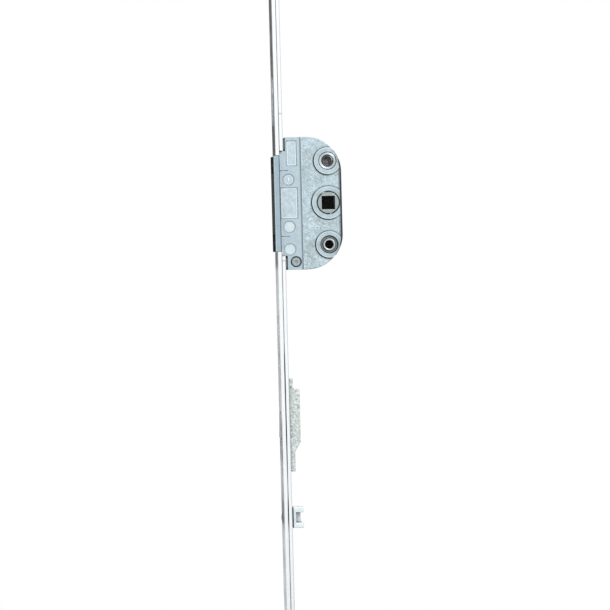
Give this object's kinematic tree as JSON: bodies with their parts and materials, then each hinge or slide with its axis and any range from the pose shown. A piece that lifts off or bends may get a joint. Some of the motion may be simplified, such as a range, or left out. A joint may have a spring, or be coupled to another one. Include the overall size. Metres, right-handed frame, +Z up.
{
  "type": "cremone bolt",
  "caption": "Window cremone bolt: spindle-driven rack in a die-cast gear case slides two drive rods with roller cams over fixed carrier rails.",
  "frame": {"origin": "on the spindle axis, midway through the gear case and midway between the handle screws", "axes": "+Z up along the rods, +X from the sash edge into the sash, -Y towards the side seen in the picture"},
  "size_m": [0.0439, 0.016, 0.4],
  "materials": {
    "zinc_casting": "die-cast, satin",
    "steel_bar": "bright zinc plated",
    "steel_fittings": "zinc plated",
    "spring_steel": "plain"
  },
  "bodies": {
    "case": {"case_body": "zinc_casting", "case_cover": "zinc_casting", "case_rivet": "steel_fittings", "upper_screw_bush": "steel_fittings", "lower_screw_bush": "steel_fittings", "upper_rail": "steel_bar", "lower_rail": "steel_bar", "rail_rivets": "steel_fittings", "lock_housing": "zinc_casting", "lock_housing_rivets": "steel_fittings", "lock_lever_pin": "steel_fittings", "lock_spring": "spring_steel"},
    "drive": {"rack_slider": "zinc_casting", "upper_drive_rod": "steel_bar", "lower_drive_rod": "steel_bar", "rod_rivets": "steel_fittings", "guide_block": "zinc_casting", "guide_block_rivet": "steel_fittings", "upper_cam_stud": "steel_fittings", "lower_cam_stud": "steel_fittings"},
    "follower": {"follower": "zinc_casting"},
    "lever": {"lock_lever": "steel_bar"},
    "upper_roller": {"upper_cam_roller": "steel_fittings"},
    "lower_roller": {"lower_cam_roller": "steel_fittings"}
  },
  "joints": [
    {"name": "drive_slide", "type": "slide", "parent": "case", "child": "drive", "axis": [0, 0, 1], "range_m": [0, 0.018]},
    {"name": "follower_turn", "type": "hinge", "parent": "case", "child": "follower", "pos_m": [0, 0, 0], "axis": [0, 1, 0], "range_deg": [0, 90]},
    {"name": "lever_press", "type": "hinge", "parent": "case", "child": "lever", "pos_m": [-0.0205, 0, -0.1004], "axis": [0, -1, 0], "range_deg": [0, 2.5], "stiffness_Nm_per_rad": 0.05, "springref_deg": -17.19},
    {"name": "upper_roller_spin", "type": "hinge", "parent": "drive", "child": "upper_roller", "pos_m": [-0.031, 0, 0.112], "axis": [1, 0, 0], "continuous": true},
    {"name": "lower_roller_spin", "type": "hinge", "parent": "drive", "child": "lower_roller", "pos_m": [-0.031, 0, -0.218], "axis": [1, 0, 0], "continuous": true}
  ],
  "couplings": [
    {"joint": "follower_turn", "follows": "drive_slide", "rad_per_m": 87.266}
  ]
}
